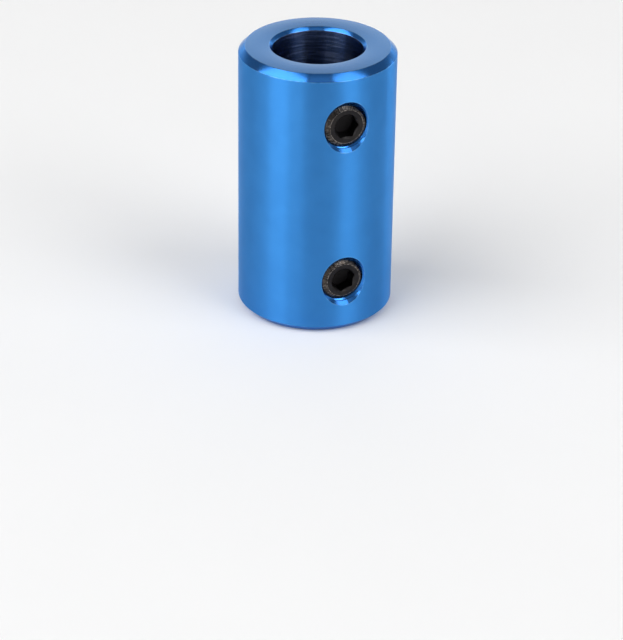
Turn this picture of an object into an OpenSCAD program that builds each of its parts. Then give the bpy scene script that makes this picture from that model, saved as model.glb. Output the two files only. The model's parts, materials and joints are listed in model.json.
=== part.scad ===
// Rigid sleeve coupling for two shafts: one turned tube and the two grub screws that clamp the shafts.
// The sleeve stands on the origin with its axis along +Z, and both screws point along -Y.

/* [Sleeve] */
// Outside diameter of the sleeve
sleeve_d = 14; // [13.6:0.2:16]
// Length of the sleeve from end face to end face
sleeve_l = 25; // [22:0.5:40]
// Diameter of the through bore for the shafts
bore_d = 8; // [5:0.5:8]
// Leg of the 45 degree chamfer round the outside of each end
edge_chamfer = 0.6; // [0.2:0.1:1.2]
// Leg of the 45 degree chamfer at each mouth of the bore
mouth_chamfer = 0.3; // [0.1:0.1:0.6]

/* [Tapped holes] */
// Distance of each tapped hole from its own end of the sleeve
hole_inset = 5; // [4.5:0.5:8]
// Nominal diameter of the tapped holes and their screws
thread_d = 4; // [3.6:0.1:4.2]
// Diameter of each countersink where it meets the outside, measured along the sleeve
countersink_d = 4.8; // [4.5:0.1:5.2]

/* [Grub screws] */
// Length of each grub screw
screw_l = 2.6; // [2.3:0.1:2.6]
// Depth of the upper screw's face below the outside of the sleeve
upper_recess = 0.25; // [0.2:0.05:0.35]
// Depth of the lower screw's face below the outside of the sleeve
lower_recess = 0.3; // [0.2:0.05:0.35]
// Width of the chamfer round the socket end, measured across the face
face_chamfer_w = 0.4; // [0.2:0.05:0.5]
// Depth of that chamfer, measured along the screw
face_chamfer_h = 0.2; // [0.1:0.05:0.4]
// Leg of the 45 degree chamfer round the cup end
cup_chamfer = 0.35; // [0.2:0.05:0.5]
// Diameter of the cup point
cup_d = 2; // [1.4:0.1:2.2]
// Depth of the cup point
cup_depth = 0.4; // [0.2:0.05:0.5]

/* [Hex sockets] */
// Width across the flats of the hex socket
socket_af = 2; // [1.5:0.1:2]
// Depth of the hex socket's flat walls
socket_depth = 1.2; // [0.8:0.1:1.2]
// Leg of the 45 degree chamfer at the socket's mouth
socket_chamfer = 0.15; // [0.05:0.05:0.2]
// Turn of the upper screw about its own axis, in degrees
upper_turn = 0; // [0:5:55]
// Turn of the lower screw about its own axis, in degrees
lower_turn = 20; // [0:5:55]

/* [Hidden] */
// Radial clearance of the plain screw shank in its plain hole
running_gap = 0.05;
// How far a cutting tool runs past the surface that it cuts
overrun = 0.5;
// Depth of the cone that the broach leaves under the socket's flats
socket_cone = 0.25;
sleeve_r = sleeve_d / 2;
bore_r = bore_d / 2;
screw_r = thread_d / 2 - running_gap;
lower_hole_z = hole_inset;
upper_hole_z = sleeve_l - hole_inset;
socket_corner_r = socket_af / 2 / cos(30);
$fn = 96;

// Turns its children so that their +Z points out along the screw hole at height z, with +Y still up the sleeve
module along_hole(z) {
    translate([0, 0, z]) rotate([90, 0, 0]) children();
}

// Half section of the sleeve with its four chamfers
module sleeve_section() {
    polygon([
        [bore_r + mouth_chamfer, 0],
        [sleeve_r - edge_chamfer, 0],
        [sleeve_r, edge_chamfer],
        [sleeve_r, sleeve_l - edge_chamfer],
        [sleeve_r - edge_chamfer, sleeve_l],
        [bore_r + mouth_chamfer, sleeve_l],
        [bore_r, sleeve_l - mouth_chamfer],
        [bore_r, mouth_chamfer]
    ]);
}

// Tapping drill and 90 degree countersink for one screw
module tapped_hole() {
    depth = (countersink_d - thread_d) / 2;
    cylinder(d = thread_d, h = sleeve_r + overrun);
    translate([0, 0, sleeve_r - depth])
        cylinder(r1 = thread_d / 2, r2 = thread_d / 2 + depth + overrun, h = depth + overrun);
}

module sleeve() {
    color([0.22, 0.50, 0.80])
    difference() {
        rotate_extrude() sleeve_section();
        along_hole(lower_hole_z) tapped_hole();
        along_hole(upper_hole_z) tapped_hole();
    }
}

// Half section of the screw blank, cup point down and socket end up
module screw_section() {
    polygon([
        [0, cup_depth],
        [cup_d / 2, 0],
        [screw_r - cup_chamfer, 0],
        [screw_r, cup_chamfer],
        [screw_r, screw_l - face_chamfer_h],
        [screw_r - face_chamfer_w, screw_l],
        [0, screw_l]
    ]);
}

// Hex socket with its chamfered mouth and its conical floor, cut down from the screw's face
module hex_socket() {
    floor_z = screw_l - socket_depth;
    translate([0, 0, floor_z]) cylinder(r = socket_corner_r, h = socket_depth + overrun, $fn = 6);
    translate([0, 0, floor_z - socket_cone]) cylinder(r1 = 0, r2 = socket_af / 2, h = socket_cone);
    translate([0, 0, screw_l - socket_chamfer])
        cylinder(r1 = socket_corner_r - socket_chamfer, r2 = socket_corner_r + overrun,
                 h = socket_chamfer + overrun);
}

module grub_screw(z, recess, turn) {
    color([0.20, 0.19, 0.19])
    along_hole(z)
    translate([0, 0, sleeve_r - recess - screw_l])
    rotate(turn + 30)
    difference() {
        rotate_extrude() screw_section();
        hex_socket();
    }
}

module upper_grub_screw() {
    grub_screw(upper_hole_z, upper_recess, upper_turn);
}

module lower_grub_screw() {
    grub_screw(lower_hole_z, lower_recess, lower_turn);
}

sleeve();
upper_grub_screw();
lower_grub_screw();
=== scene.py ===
"""Rigid sleeve coupling: a blue anodised sleeve with two black grub screws, on a pale floor."""
import json
import math

import bmesh
import bpy
from mathutils import Euler, Matrix, Vector


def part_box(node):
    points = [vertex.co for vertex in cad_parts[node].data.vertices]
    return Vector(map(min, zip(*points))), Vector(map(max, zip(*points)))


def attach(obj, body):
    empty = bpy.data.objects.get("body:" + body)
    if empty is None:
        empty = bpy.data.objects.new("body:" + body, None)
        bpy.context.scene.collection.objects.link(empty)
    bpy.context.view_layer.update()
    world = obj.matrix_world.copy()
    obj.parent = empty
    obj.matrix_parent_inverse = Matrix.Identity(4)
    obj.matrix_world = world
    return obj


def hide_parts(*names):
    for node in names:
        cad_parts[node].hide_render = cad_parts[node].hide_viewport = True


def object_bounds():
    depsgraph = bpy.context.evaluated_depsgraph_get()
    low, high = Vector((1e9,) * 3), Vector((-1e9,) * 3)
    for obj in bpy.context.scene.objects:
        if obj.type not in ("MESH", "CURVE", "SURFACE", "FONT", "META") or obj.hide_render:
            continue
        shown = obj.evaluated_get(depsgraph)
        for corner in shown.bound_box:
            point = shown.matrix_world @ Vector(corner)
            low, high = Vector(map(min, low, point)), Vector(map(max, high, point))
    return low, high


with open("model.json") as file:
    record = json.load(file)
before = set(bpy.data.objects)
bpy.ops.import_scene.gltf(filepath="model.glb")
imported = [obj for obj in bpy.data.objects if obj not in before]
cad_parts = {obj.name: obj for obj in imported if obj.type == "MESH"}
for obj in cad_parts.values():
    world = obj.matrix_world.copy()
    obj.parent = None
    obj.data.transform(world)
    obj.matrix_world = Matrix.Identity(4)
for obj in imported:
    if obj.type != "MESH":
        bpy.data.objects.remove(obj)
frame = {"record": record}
cad_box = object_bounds()

MM = 0.001
FULL_TURN = 2 * math.pi
MERGE_GAP = 1e-7
CUT_GAP = 1e-9


# ---------------------------------------------------------------- sizes, in millimetres

def cad_size(node):
    """Lowest and highest corner of a CAD node, in millimetres, to a hundredth."""
    return [Vector(round(value / MM, 2) for value in corner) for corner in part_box(node)]


sleeve_low, sleeve_high = cad_size("sleeve")
SLEEVE_R = (sleeve_high.x - sleeve_low.x) / 2
SLEEVE_L = sleeve_high.z - sleeve_low.z
HALF_L = SLEEVE_L / 2
BORE_R = frame["record"]["mounts"][0]["dims"]["r_mm"]
EDGE_CHAMFER = 0.6
MOUTH_CHAMFER = 0.3
EDGE_ROUND = 0.04

screw_low, screw_high = cad_size("lower_grub_screw")
SCREW_CREST_R = (screw_high.x - screw_low.x) / 2
SCREW_ROOT_R = 1.57
SCREW_CREST_FLAT = 0.145
SCREW_FACE_CHAMFER_W = 0.4
SCREW_FACE_CHAMFER_H = 0.2
SCREW_CUP_CHAMFER = 0.35
SCREW_EDGE_ROUND = 0.025
CUP_R = 1.0
CUP_DEPTH = 0.4

THREAD_PITCH = 0.7
FLANK_ANGLE = math.radians(30)
THREAD_START = math.radians(105)
HOLE_INSET = screw_low.z + SCREW_CREST_R
HOLE_CREST_R = 2.08
HOLE_ROOT_R = 1.66
HOLE_CREST_FLAT = 0.12
COUNTERSINK_R = 2.4

SOCKET_ACROSS_FLATS = 2.0
SOCKET_CORNER_R = SOCKET_ACROSS_FLATS / 2 / math.cos(math.radians(30))
SOCKET_DEPTH = 1.2
SOCKET_FLOOR_CONE = 0.25
SOCKET_MOUTH_CHAMFER = 0.15
SOCKET_DRILL_R = 0.98
# The broach starts with a corner at the top, and this turn in degrees puts a flat there.
FLAT_UP = 30
UPPER_TURN = 0
LOWER_TURN = 20


# ---------------------------------------------------------------- mesh tools

def make_object(name, mesh_builder):
    """The finished bmesh as an object at the origin."""
    mesh = bpy.data.meshes.new(name)
    mesh_builder.to_mesh(mesh)
    mesh_builder.free()
    thing = bpy.data.objects.new(name, mesh)
    bpy.context.scene.collection.objects.link(thing)
    return thing


def turned(section, steps, closed):
    """A solid turned about Z from its half section of (radius, height) points.

    A closed section stands clear of the axis, and an open one starts and ends on it.
    """
    builder = bmesh.new()
    points = [builder.verts.new((radius * MM, 0, height * MM)) for radius, height in section]
    pairs = list(zip(points, points[1:]))
    if closed:
        pairs.append((points[-1], points[0]))
    lines = [builder.edges.new(pair) for pair in pairs]
    bmesh.ops.spin(builder, geom=points + lines, cent=(0, 0, 0), axis=(0, 0, 1),
                   angle=FULL_TURN, steps=steps, use_merge=True)
    bmesh.ops.remove_doubles(builder, verts=builder.verts, dist=MERGE_GAP)
    bmesh.ops.recalc_face_normals(builder, faces=builder.faces)
    return builder


def round_corners(builder, radius, segments, least_angle=20):
    """Rounds every edge that turns by more than least_angle degrees."""
    corners = [edge for edge in builder.edges
               if edge.calc_face_angle(0) > math.radians(least_angle)]
    bmesh.ops.bevel(builder, geom=corners, offset=radius * MM, offset_type="OFFSET",
                    affect="EDGES", segments=segments, profile=0.5, material=-1)
    return builder


def threaded_rod(crest_r, root_r, crest_flat, low, high, steps=96):
    """A right-hand threaded rod along Z, from height low to high, its helix fixed to height 0."""
    root_flat = crest_flat + 2 * (crest_r - root_r) * math.tan(FLANK_ANGLE)
    builder = bmesh.new()
    section = []
    for ridge in range(math.floor(low / THREAD_PITCH) - 1, math.ceil(high / THREAD_PITCH) + 2):
        middle = ridge * THREAD_PITCH
        section += [(root_r, middle - root_flat / 2), (crest_r, middle - crest_flat / 2),
                    (crest_r, middle + crest_flat / 2), (root_r, middle + root_flat / 2)]
    points = [builder.verts.new((radius * MM, 0, height * MM)) for radius, height in section]
    lines = [builder.edges.new(pair) for pair in zip(points, points[1:])]
    bmesh.ops.spin(builder, geom=points + lines, cent=(0, 0, 0), axis=(0, 0, 1),
                   dvec=(0, 0, THREAD_PITCH * MM / steps), angle=FULL_TURN, steps=steps,
                   use_merge=False)
    bmesh.ops.remove_doubles(builder, verts=builder.verts, dist=MERGE_GAP)
    for height, outward in ((low, -1), (high, 1)):
        cut = bmesh.ops.bisect_plane(
            builder, geom=builder.verts[:] + builder.edges[:] + builder.faces[:], dist=CUT_GAP,
            plane_co=(0, 0, height * MM), plane_no=(0, 0, outward), clear_outer=True)
        rim = [item for item in cut["geom_cut"] if isinstance(item, bmesh.types.BMEdge)]
        bmesh.ops.edgeloop_fill(builder, edges=rim)
    bmesh.ops.recalc_face_normals(builder, faces=builder.faces)
    bmesh.ops.rotate(builder, verts=builder.verts, cent=(0, 0, 0),
                     matrix=Matrix.Rotation(THREAD_START, 3, "Z"))
    return builder


def combine(base, tools, operation):
    """Cuts base by each tool, or keeps what they share, and clears the tools away."""
    for tool in tools:
        step = base.modifiers.new("cut", "BOOLEAN")
        step.solver = "EXACT"
        step.operation = operation
        step.object = tool
        bpy.context.view_layer.update()
        settled = base.evaluated_get(bpy.context.evaluated_depsgraph_get())
        result = bpy.data.meshes.new_from_object(settled)
        base.modifiers.clear()
        base.data = result
        bpy.data.objects.remove(tool)
    return base


def along_hole(height):
    """Turns a piece made along +Z to point out along the screw hole at that height of the sleeve."""
    return Matrix.Translation((0, 0, height * MM)) @ Matrix.Rotation(math.radians(90), 4, "X")


def shade(thing, sharp_angle=25):
    """Smooth faces, with the edges kept crisp where the surface turns by more than sharp_angle."""
    for face in thing.data.polygons:
        face.use_smooth = True
    thing.data.set_sharp_from_angle(angle=math.radians(sharp_angle))
    return thing


# ---------------------------------------------------------------- the sleeve

def countersink(height):
    """The 90 degree cone at the mouth of a tapped hole, down to the crests of its thread."""
    overrun = 1.0
    tip = SLEEVE_R - COUNTERSINK_R
    builder = turned([(0, tip), (COUNTERSINK_R + overrun, SLEEVE_R + overrun), (0, SLEEVE_R + overrun)],
                     steps=160, closed=False)
    builder.transform(along_hole(height))
    return make_object("countersink", builder)


def tapped_thread(height):
    """The tap that cuts one threaded hole, from inside the bore to beyond the outside."""
    inside_bore = BORE_R - 2.0
    outside = SLEEVE_R + 0.5
    builder = threaded_rod(HOLE_CREST_R, HOLE_ROOT_R, HOLE_CREST_FLAT, inside_bore, outside)
    builder.transform(along_hole(height))
    return make_object("tap", builder)


def make_sleeve():
    """The turned tube with rounded chamfer corners, two countersinks and two tapped holes."""
    section = [
        (BORE_R + MOUTH_CHAMFER, 0),
        (SLEEVE_R - EDGE_CHAMFER, 0),
        (SLEEVE_R, EDGE_CHAMFER),
        (SLEEVE_R, SLEEVE_L - EDGE_CHAMFER),
        (SLEEVE_R - EDGE_CHAMFER, SLEEVE_L),
        (BORE_R + MOUTH_CHAMFER, SLEEVE_L),
        (BORE_R, SLEEVE_L - MOUTH_CHAMFER),
        (BORE_R, MOUTH_CHAMFER),
    ]
    builder = round_corners(turned(section, steps=288, closed=True), EDGE_ROUND, segments=3)
    sleeve = make_object("turned_sleeve", builder)
    heights = (HOLE_INSET, SLEEVE_L - HOLE_INSET)
    tools = [make(height) for height in heights for make in (tapped_thread, countersink)]
    return shade(combine(sleeve, tools, "DIFFERENCE"))


# ---------------------------------------------------------------- the grub screws

def socket_broach(face, turn):
    """The hexagonal broach that cuts the socket, turned that many degrees about the screw."""
    builder = bmesh.new()
    overrun = 1.0
    length = SOCKET_DEPTH + overrun
    place = (Matrix.Translation((0, 0, (face - SOCKET_DEPTH + length / 2) * MM))
             @ Matrix.Rotation(math.radians(turn), 4, "Z"))
    bmesh.ops.create_cone(builder, cap_ends=True, segments=6, radius1=SOCKET_CORNER_R * MM,
                          radius2=SOCKET_CORNER_R * MM, depth=length * MM, matrix=place)
    return make_object("broach", builder)


def socket_drill(face):
    """The drill that goes before the broach: a cone under the socket and a chamfer at its mouth."""
    inner = SOCKET_CORNER_R - SOCKET_MOUTH_CHAMFER
    lap = 0.02
    overrun = 0.5
    builder = turned([
        (0, face - SOCKET_DEPTH - SOCKET_FLOOR_CONE),
        (SOCKET_DRILL_R, face - SOCKET_DEPTH + lap),
        (SOCKET_DRILL_R, face - SOCKET_MOUTH_CHAMFER - (inner - SOCKET_DRILL_R)),
        (inner + SOCKET_MOUTH_CHAMFER + overrun, face + overrun),
        (0, face + overrun),
    ], steps=96, closed=False)
    return make_object("drill", builder)


def make_grub_screw(name, node, turn):
    """A hex socket grub screw with a cup point, its thread cut away by the chamfers at both ends."""
    low, high = cad_size(node)
    tip, face = -high.y, -low.y
    height = (low.z + high.z) / 2
    spare = 0.3
    outside = SCREW_CREST_R + spare
    slope = SCREW_FACE_CHAMFER_H / SCREW_FACE_CHAMFER_W
    overrun = 0.5
    blank = turned([
        (0, tip + CUP_DEPTH),
        (CUP_R, tip),
        (SCREW_CREST_R - SCREW_CUP_CHAMFER, tip),
        (outside, tip + SCREW_CUP_CHAMFER + spare),
        (outside, face - SCREW_FACE_CHAMFER_H - spare * slope),
        (SCREW_CREST_R - SCREW_FACE_CHAMFER_W, face),
        (0, face),
    ], steps=192, closed=False)
    screw = make_object(name, round_corners(blank, SCREW_EDGE_ROUND, segments=2))
    combine(screw, [socket_broach(face, turn + FLAT_UP), socket_drill(face)], "DIFFERENCE")
    rod = threaded_rod(SCREW_CREST_R, SCREW_ROOT_R, SCREW_CREST_FLAT, tip - overrun, face + overrun)
    combine(screw, [make_object("rod", rod)], "INTERSECT")
    screw.data.transform(along_hole(height))
    return shade(screw)


# ---------------------------------------------------------------- shader maths

class Signal:
    """A number or a vector that varies over a surface, as one output socket of a finish."""

    def __init__(self, finish, socket):
        self.finish = finish
        self.socket = socket

    def maths(self, operation, *terms):
        """The result of one Math node."""
        return self.finish.node("ShaderNodeMath", {"operation": operation}, dict(enumerate(terms)))

    def __add__(self, other):
        return self.maths("ADD", self, other)

    def __sub__(self, other):
        return self.maths("SUBTRACT", self, other)

    def __rsub__(self, other):
        return self.maths("SUBTRACT", other, self)

    def __mul__(self, other):
        return self.maths("MULTIPLY", self, other)

    def __truediv__(self, other):
        return self.maths("DIVIDE", self, other)

    def __rtruediv__(self, other):
        return self.maths("DIVIDE", other, self)

    def __pow__(self, power):
        return self.maths("POWER", self, power)

    def __rpow__(self, base):
        return self.maths("POWER", base, self)

    def __abs__(self):
        return self.maths("ABSOLUTE", self)

    __radd__ = __add__
    __rmul__ = __mul__

    def lower_of(self, other):
        return self.maths("MINIMUM", self, other)

    def step(self, start, end, low=0.0, high=1.0):
        """Goes smoothly from low to high as this signal goes from start to end."""
        return self.finish.node("ShaderNodeMapRange", {"interpolation_type": "SMOOTHSTEP"},
                                {"Value": self, "From Min": start, "From Max": end,
                                 "To Min": low, "To Max": high})


class Finish:
    """One material: its node tree, and the Principled shader that its signals feed."""

    def __init__(self, name, **constants):
        self.material = bpy.data.materials.new(name)
        self.material.use_nodes = True
        self.nodes = self.material.node_tree.nodes
        self.links = self.material.node_tree.links
        self.shader = self.nodes["Principled BSDF"]
        for socket, value in constants.items():
            self.shader.inputs[socket.replace("_", " ")].default_value = value

    def node(self, kind, settings, sockets, output=0):
        """Adds one node, sets it, then joins or fills its sockets."""
        made = self.nodes.new(kind)
        for setting, value in settings.items():
            setattr(made, setting, value)
        self.fill(made, sockets)
        return Signal(self, made.outputs[output])

    def fill(self, made, sockets):
        """Joins signals to a node's sockets, and writes plain values into them."""
        for socket, value in sockets.items():
            if isinstance(value, Signal):
                self.links.new(value.socket, made.inputs[socket])
            else:
                made.inputs[socket].default_value = value

    def feed(self, **sockets):
        """Joins signals to the shader's own sockets."""
        self.fill(self.shader, {name.replace("_", " "): value for name, value in sockets.items()})

    def place(self):
        """The point on the surface, as three signals in millimetres."""
        point = self.node("ShaderNodeTexCoord", {}, {}, "Object")
        return [self.node("ShaderNodeSeparateXYZ", {}, {0: point}, axis) * (1 / MM)
                for axis in range(3)]

    def vector(self, x, y, z=0.0):
        return self.node("ShaderNodeCombineXYZ", {}, {0: x, 1: y, 2: z})

    def noise(self, point, scale, detail=2.0, roughness=0.5):
        """Even noise from 0 to 1. Scale is in cells a millimetre where point is in millimetres."""
        return self.node("ShaderNodeTexNoise", {"noise_dimensions": "3D"},
                         {"Vector": point, "Scale": scale, "Detail": detail,
                          "Roughness": roughness})

    def blend(self, share, first, second):
        """One colour at share 0 and the other at share 1."""
        return self.node("ShaderNodeMix", {"data_type": "RGBA"},
                         {0: share, 6: first, 7: second}, 2)

    def bump(self, height, depth_mm, below=None):
        """A normal from a height of 0 to 1 that stands depth_mm proud."""
        sockets = {"Height": height, "Distance": depth_mm * MM, "Strength": 1.0}
        if below:
            sockets["Normal"] = below
        return self.node("ShaderNodeBump", {}, sockets)


def distance(a, b):
    """Length of the flat vector with those two parts."""
    return (a * a + b * b) ** 0.5


# ---------------------------------------------------------------- finishes

def blue_anodising():
    """Turned aluminium under a clear blue oxide: fine tool marks, and edges rubbed a little paler,
    which also paints a highlight along them. Darker copies of the blue on the chamfers, holes, end
    faces and bore are painted shade.
    """
    side_dye = (0.041, 0.239, 0.625, 1), (0.045, 0.255, 0.655, 1)
    # A darker copy of the side blue for the chamfers, countersinks and tapped holes: painted shade.
    chamfer_dye_painted_shade = (0.024, 0.178, 0.56, 1)
    # A darker copy of the side blue for the end faces: painted shade.
    face_dye_painted_shade = (0.027, 0.186, 0.50, 1)
    # Dark greyish blues for the bore, the paler one for its reamer streaks: painted shade inside the
    # bore.
    bore_dye_painted_shade = (0.055, 0.095, 0.21, 1), (0.17, 0.23, 0.40, 1)
    # A paler blue where edges are rubbed, which also serves as a painted highlight along the corners
    # and countersink mouths.
    rubbed_edge_and_highlight = (0.20, 0.42, 0.74, 1)
    reamer_stretch = 0.08
    etch_depth = 0.0003
    tool_mark_depth = 0.0008

    finish = Finish("blue_anodising", Metallic=1.0, Coat_Roughness=0.2, Coat_IOR=1.5,
                    Anisotropic=0.97, Anisotropic_Rotation=0.25,
                    Specular_Tint=(0.5, 0.75, 1.0, 1))
    x, y, z = finish.place()
    radius = distance(x, y)
    from_end = HALF_L - abs(z - HALF_L)
    point = finish.vector(x, y, z)

    side = radius.step(SLEEVE_R - 0.03, SLEEVE_R - 0.01)
    face = from_end.step(0.03, 0.01) * radius.step(BORE_R, BORE_R + MOUTH_CHAMFER)
    bore = radius.step(BORE_R + 0.03, BORE_R + 0.01)

    tool_marks = finish.noise(finish.vector(radius, z), 14.0, detail=3.0, roughness=0.7)
    etch = finish.noise(point, 40.0, detail=1.0)
    cloud = finish.noise(point, 0.45, detail=2.0)
    round_bore = finish.vector(x * reamer_stretch, y * reamer_stretch, z)
    reamer_marks = finish.noise(round_bore, 6.0, detail=3.0).step(0.45, 0.65)

    corners = ((SLEEVE_R, EDGE_CHAMFER), (SLEEVE_R - EDGE_CHAMFER, 0),
               (BORE_R + MOUTH_CHAMFER, 0), (BORE_R, MOUTH_CHAMFER))
    from_corner = distance(radius - corners[0][0], from_end - corners[0][1])
    for corner_r, corner_end in corners[1:]:
        from_corner = from_corner.lower_of(distance(radius - corner_r, from_end - corner_end))
    from_hole_axis = distance(x, from_end - HOLE_INSET)
    # Zero on the cone of a countersink, whose point lies COUNTERSINK_R below the surface.
    from_cone = from_hole_axis + y + (SLEEVE_R - COUNTERSINK_R)
    from_corner = from_corner.lower_of(distance(from_cone, radius - SLEEVE_R))
    # Rubbed wear at the rounded corners and countersink mouths, drawn also as a painted edge highlight.
    rub_and_highlight = from_corner.step(0.07, 0.02) * finish.noise(point, 2.5, detail=3.0).step(0.35, 0.65)

    # The side blue with random cloudy tone, and darker copies painted on the chamfers, faces and bore
    # as painted shade.
    dye_and_painted_shade = finish.blend(side, chamfer_dye_painted_shade, finish.blend(cloud.step(0.3, 0.7), *side_dye))
    dye_and_painted_shade = finish.blend(face, dye_and_painted_shade, face_dye_painted_shade)
    dye_and_painted_shade = finish.blend(bore, dye_and_painted_shade, finish.blend(reamer_marks, *bore_dye_painted_shade))
    finish.feed(
        Base_Color=finish.blend(rub_and_highlight * 0.35, dye_and_painted_shade, rubbed_edge_and_highlight),
        Coat_Weight=0.3 + 0.7 * face - 0.15 * side - 0.2 * bore,
        Roughness=0.16 + 0.24 * side + 0.07 * face + 0.09 * bore + 0.03 * (tool_marks - 0.5),
        Normal=finish.bump(etch, etch_depth, finish.bump(tool_marks, tool_mark_depth)),
    )
    return finish.material


def black_oxide():
    """Black oxide on steel: near black on the flat end, browner and rubbed where it is chamfered, with
    a painted highlight along the chamfer edge, painted glints speckled over the chamfer, and painted
    shade in the socket.
    """
    flat_oxide = (0.015, 0.014, 0.016, 1), (0.024, 0.022, 0.022, 1)
    chamfer_oxide = (0.016, 0.015, 0.015, 1), (0.040, 0.032, 0.027, 1)
    # Darker inside the hex socket: painted shade.
    socket_painted_shade = (0.012, 0.011, 0.012, 1)
    # Pale steel for rubbed crests, also used for the painted edge highlight and painted glints.
    rubbed_steel_and_highlight = (0.30, 0.27, 0.25, 1)
    grain_depth = 0.004
    chatter_depth = 0.02

    finish = Finish("black_oxide", Metallic=1.0, Coat_Weight=0.15, Coat_Roughness=0.3)
    x, y, z = finish.place()
    up = abs(z - HALF_L) - (HALF_L - HOLE_INSET)
    outward = y * -1
    from_axis = distance(x, up)
    point = finish.vector(x, y, z)
    chamfer_r = SCREW_CREST_R - SCREW_FACE_CHAMFER_W
    chamfer = from_axis.step(chamfer_r - 0.03, chamfer_r + 0.03)
    socket = outward.step(SLEEVE_R - 0.55, SLEEVE_R - 0.85) * from_axis.step(1.25, 1.2)

    cloud = finish.noise(point, 1.6, detail=3.0)
    grain = finish.noise(point, 22.0, detail=2.0)
    chatter = finish.noise(finish.vector(x / from_axis, up / from_axis), 17.0, detail=1.0)
    nicks = finish.noise(point, 6.0, detail=3.0, roughness=0.7)
    # A thin pale broken line at the chamfer's inner edge: wear and a painted edge highlight.
    edge = abs(from_axis - chamfer_r).step(0.04, 0.01) * nicks.step(0.42, 0.6)
    crest = from_axis.step(SCREW_CREST_R - 0.06, SCREW_CREST_R) * nicks.step(0.4, 0.62)
    # Pale speckles over the chamfer: painted glints.
    speckled_glints = chamfer * nicks.step(0.4, 0.64) * chatter.step(0.4, 0.62)

    oxide = finish.blend(cloud.step(0.35, 0.65), *flat_oxide)
    oxide = finish.blend(chamfer, oxide, finish.blend(cloud.step(0.4, 0.6), *chamfer_oxide))
    # The hex socket painted darker: painted shade in the recess.
    oxide = finish.blend(socket, oxide, socket_painted_shade)
    # Rubbed wear on the thread crests, with a painted highlight on the chamfer edge and painted glints
    # on the chamfer.
    rub_and_highlight = 0.75 * edge + 0.4 * crest + 0.45 * speckled_glints
    finish.feed(
        Base_Color=finish.blend(rub_and_highlight, oxide, rubbed_steel_and_highlight),
        Roughness=0.40 - 0.14 * chamfer + 0.16 * (grain - 0.5) - 0.1 * edge,
        Normal=finish.bump(grain, grain_depth, finish.bump(chamfer * chatter, chatter_depth)),
    )
    return finish.material


# ---------------------------------------------------------------- floor, light and camera

CAMERA_AZIMUTH = -22.6
CAMERA_ELEVATION = 25.46
CAMERA_DISTANCE = 231.7 * MM
CAMERA_LENS = 144.66
AIM_UP = -3.254
AIM_LEFT = 0.102
CAMERA_ROLL = 0.845
FLOOR_RADIUS = 0.5
FLOOR_DROP = 0.01 * MM


def direction(azimuth, elevation):
    """Unit vector from the coupling towards that azimuth, 0 being -Y and 90 being +X."""
    a, e = math.radians(azimuth), math.radians(elevation)
    return Vector((math.sin(a) * math.cos(e), -math.cos(a) * math.cos(e), math.sin(e)))


def make_camera():
    """Looks down on the standing coupling from its left, aimed a little below it."""
    camera = bpy.data.objects.new("camera", bpy.data.cameras.new("camera"))
    bpy.context.scene.collection.objects.link(camera)
    camera.data.lens = CAMERA_LENS
    camera.data.clip_start = 0.01
    camera.data.clip_end = 50
    back = direction(CAMERA_AZIMUTH, CAMERA_ELEVATION)
    centre = (cad_box[0] + cad_box[1]) / 2
    straight = (-back).to_track_quat("-Z", "Y")
    turn = Euler([math.radians(angle) for angle in (AIM_UP, AIM_LEFT, CAMERA_ROLL)], "XYZ")
    camera.rotation_mode = "QUATERNION"
    camera.rotation_quaternion = straight @ turn.to_quaternion()
    camera.location = centre + back * CAMERA_DISTANCE
    bpy.context.scene.camera = camera


def softbox(name, from_camera, away, half_angle, low, high, radiance):
    """An upright soft panel that faces the coupling, half_angle degrees wide to each side.

    It stands from_camera degrees round from the camera, away metres from the sleeve's axis, and
    reaches from low to high metres above the floor.
    """
    lamp = bpy.data.lights.new(name, "AREA")
    lamp.shape = "RECTANGLE"
    lamp.size = 2 * away * math.tan(math.radians(half_angle))
    lamp.size_y = high - low
    lamp.energy = radiance * math.pi * lamp.size * lamp.size_y
    holder = bpy.data.objects.new(name, lamp)
    bpy.context.scene.collection.objects.link(holder)
    towards = direction(CAMERA_AZIMUTH + from_camera, 0)
    holder.location = towards * away + Vector((0, 0, (low + high) / 2))
    holder.rotation_mode = "QUATERNION"
    holder.rotation_quaternion = towards.to_track_quat("Z", "Y")
    holder.visible_camera = False


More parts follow.
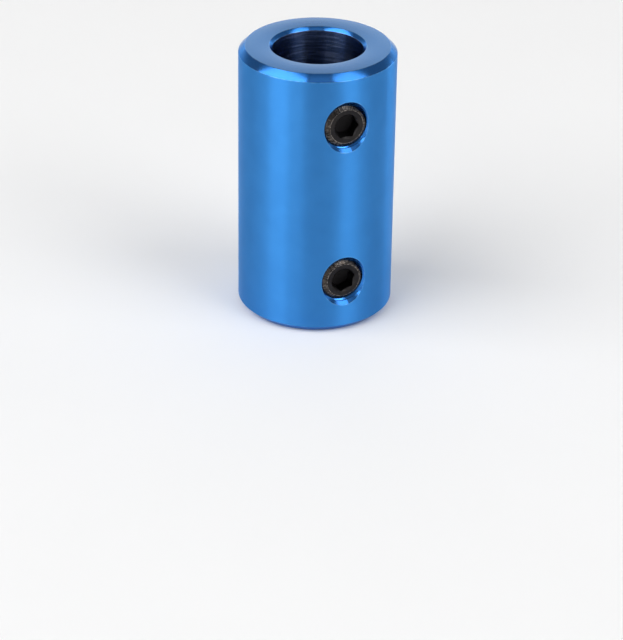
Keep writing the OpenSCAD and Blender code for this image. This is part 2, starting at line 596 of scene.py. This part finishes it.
def make_lights():
    """A softbox with a low lamp on each side of the camera, and cards between them and behind."""
    softbox("left_softbox", -60, away=0.5, half_angle=40, low=0.3, high=1.2, radiance=2.8)
    softbox("right_softbox", 59, away=0.5, half_angle=26, low=0.3, high=1.2, radiance=2.1)
    softbox("left_lamp", -56, away=0.45, half_angle=15, low=0.05, high=0.35, radiance=1.95)
    softbox("right_lamp", 51, away=0.45, half_angle=12, low=0.16, high=0.36, radiance=3.2)
    softbox("front_card", 6, away=0.5, half_angle=24, low=0.7, high=1.3, radiance=0.45)
    softbox("back_card", 180, away=0.8, half_angle=32, low=0.15, high=0.7, radiance=0.55)
    softbox("side_card", 124, away=0.5, half_angle=10, low=0.0, high=0.14, radiance=2.0)


def make_room():
    """The pale room: bright at the horizon and darker overhead."""
    world = bpy.data.worlds.new("room")
    bpy.context.scene.world = world
    world.use_nodes = True
    nodes, links = world.node_tree.nodes, world.node_tree.links
    place = nodes.new("ShaderNodeTexCoord")
    split = nodes.new("ShaderNodeSeparateXYZ")
    ramp = nodes.new("ShaderNodeMapRange")
    ramp.interpolation_type = "SMOOTHSTEP"
    for socket, value in (("From Min", 0.08), ("From Max", 0.4), ("To Min", 1.0), ("To Max", 0.28)):
        ramp.inputs[socket].default_value = value
    links.new(place.outputs["Generated"], split.inputs[0])
    links.new(split.outputs["Z"], ramp.inputs["Value"])
    links.new(ramp.outputs[0], nodes["Background"].inputs["Color"])


def make_floor():
    """A pale round floor, a hair below the coupling so that their faces don't lie in one plane."""
    builder = bmesh.new()
    just_below = Matrix.Translation((0, 0, -FLOOR_DROP))
    bmesh.ops.create_circle(builder, cap_ends=True, segments=96, radius=FLOOR_RADIUS,
                            matrix=just_below)
    floor = make_object("floor", builder)
    paint = Finish("floor_paint", Roughness=0.9, Specular_IOR_Level=0.2)
    x, y, z = paint.place()
    grain = paint.noise(paint.vector(x, y, z), 0.05, detail=2.0)
    paint.feed(Base_Color=paint.blend(grain, (0.88, 0.88, 0.88, 1), (0.90, 0.90, 0.90, 1)))
    floor.data.materials.append(paint.material)


# ---------------------------------------------------------------- the coupling

def finish_piece(piece, body, material):
    """Gives a piece its material and its place in the frame, and hides the CAD node it stands for.

    Each body holds one CAD node and has its name.
    """
    piece.data.materials.clear()
    piece.data.materials.append(material)
    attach(piece, body)
    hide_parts(body)


make_camera()
make_lights()
make_room()
make_floor()
anodising, oxide = blue_anodising(), black_oxide()
finish_piece(make_sleeve(), "sleeve", anodising)
for name, body, turn in (("upper_screw", "upper_grub_screw", UPPER_TURN),
                         ("lower_screw", "lower_grub_screw", LOWER_TURN)):
    finish_piece(make_grub_screw(name, body, turn), body, oxide)
bpy.context.scene.view_settings.view_transform = "Standard"
